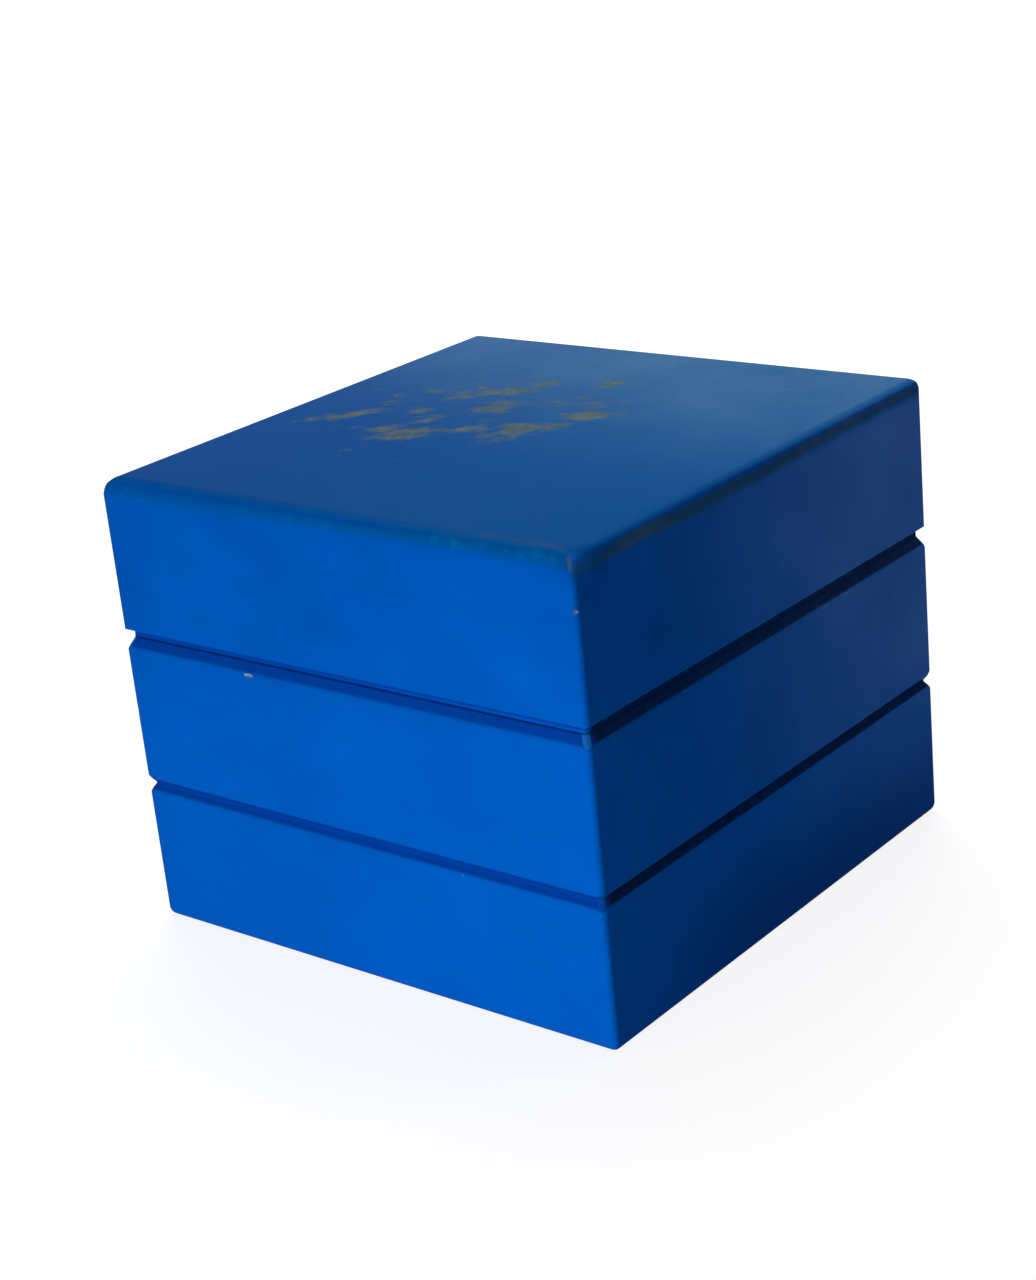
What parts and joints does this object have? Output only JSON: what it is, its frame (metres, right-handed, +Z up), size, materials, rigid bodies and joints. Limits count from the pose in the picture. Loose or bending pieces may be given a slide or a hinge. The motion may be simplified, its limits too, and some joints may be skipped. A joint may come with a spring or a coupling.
{
  "type": "keepsake box",
  "caption": "Square painted wooden keepsake box: a hinged lid on a padded base, with a groove round the seam and another round the base.",
  "frame": {"origin": "centre of the underside", "axes": "+Z up; the front faces -Y; the hinges are on the rear, +Y"},
  "size_m": [0.1, 0.1, 0.082],
  "materials": {
    "painted_board": "satin blue paint on fibreboard, rubbed at the edges",
    "lining": "grey felt on thin board",
    "pad": "grey velvet over foam",
    "hinge": "brushed brass",
    "screw": "brass, slotted countersunk heads"
  },
  "bodies": {
    "base": {"base_floor_board": "painted_board", "base_front_wall": "painted_board", "base_rear_wall": "painted_board", "base_left_wall": "painted_board", "base_right_wall": "painted_board", "lining_front": "lining", "lining_rear": "lining", "lining_left": "lining", "lining_right": "lining", "floor_pad": "pad", "left_hinge_base_leaf": "hinge", "left_hinge_pin": "hinge", "left_hinge_base_screw_1": "screw", "left_hinge_base_screw_2": "screw", "right_hinge_base_leaf": "hinge", "right_hinge_pin": "hinge", "right_hinge_base_screw_1": "screw", "right_hinge_base_screw_2": "screw"},
    "lid": {"lid_top_board": "painted_board", "lid_front_wall": "painted_board", "lid_rear_wall": "painted_board", "lid_left_wall": "painted_board", "lid_right_wall": "painted_board", "lid_pad": "pad", "left_hinge_lid_leaf": "hinge", "left_hinge_lid_screw_1": "screw", "left_hinge_lid_screw_2": "screw", "right_hinge_lid_leaf": "hinge", "right_hinge_lid_screw_1": "screw", "right_hinge_lid_screw_2": "screw"}
  },
  "joints": [
    {"name": "lid_hinge", "type": "hinge", "parent": "base", "child": "lid", "pos_m": [0, 0.04895, 0.05365], "axis": [-1, 0, 0], "range_deg": [0, 100]}
  ]
}
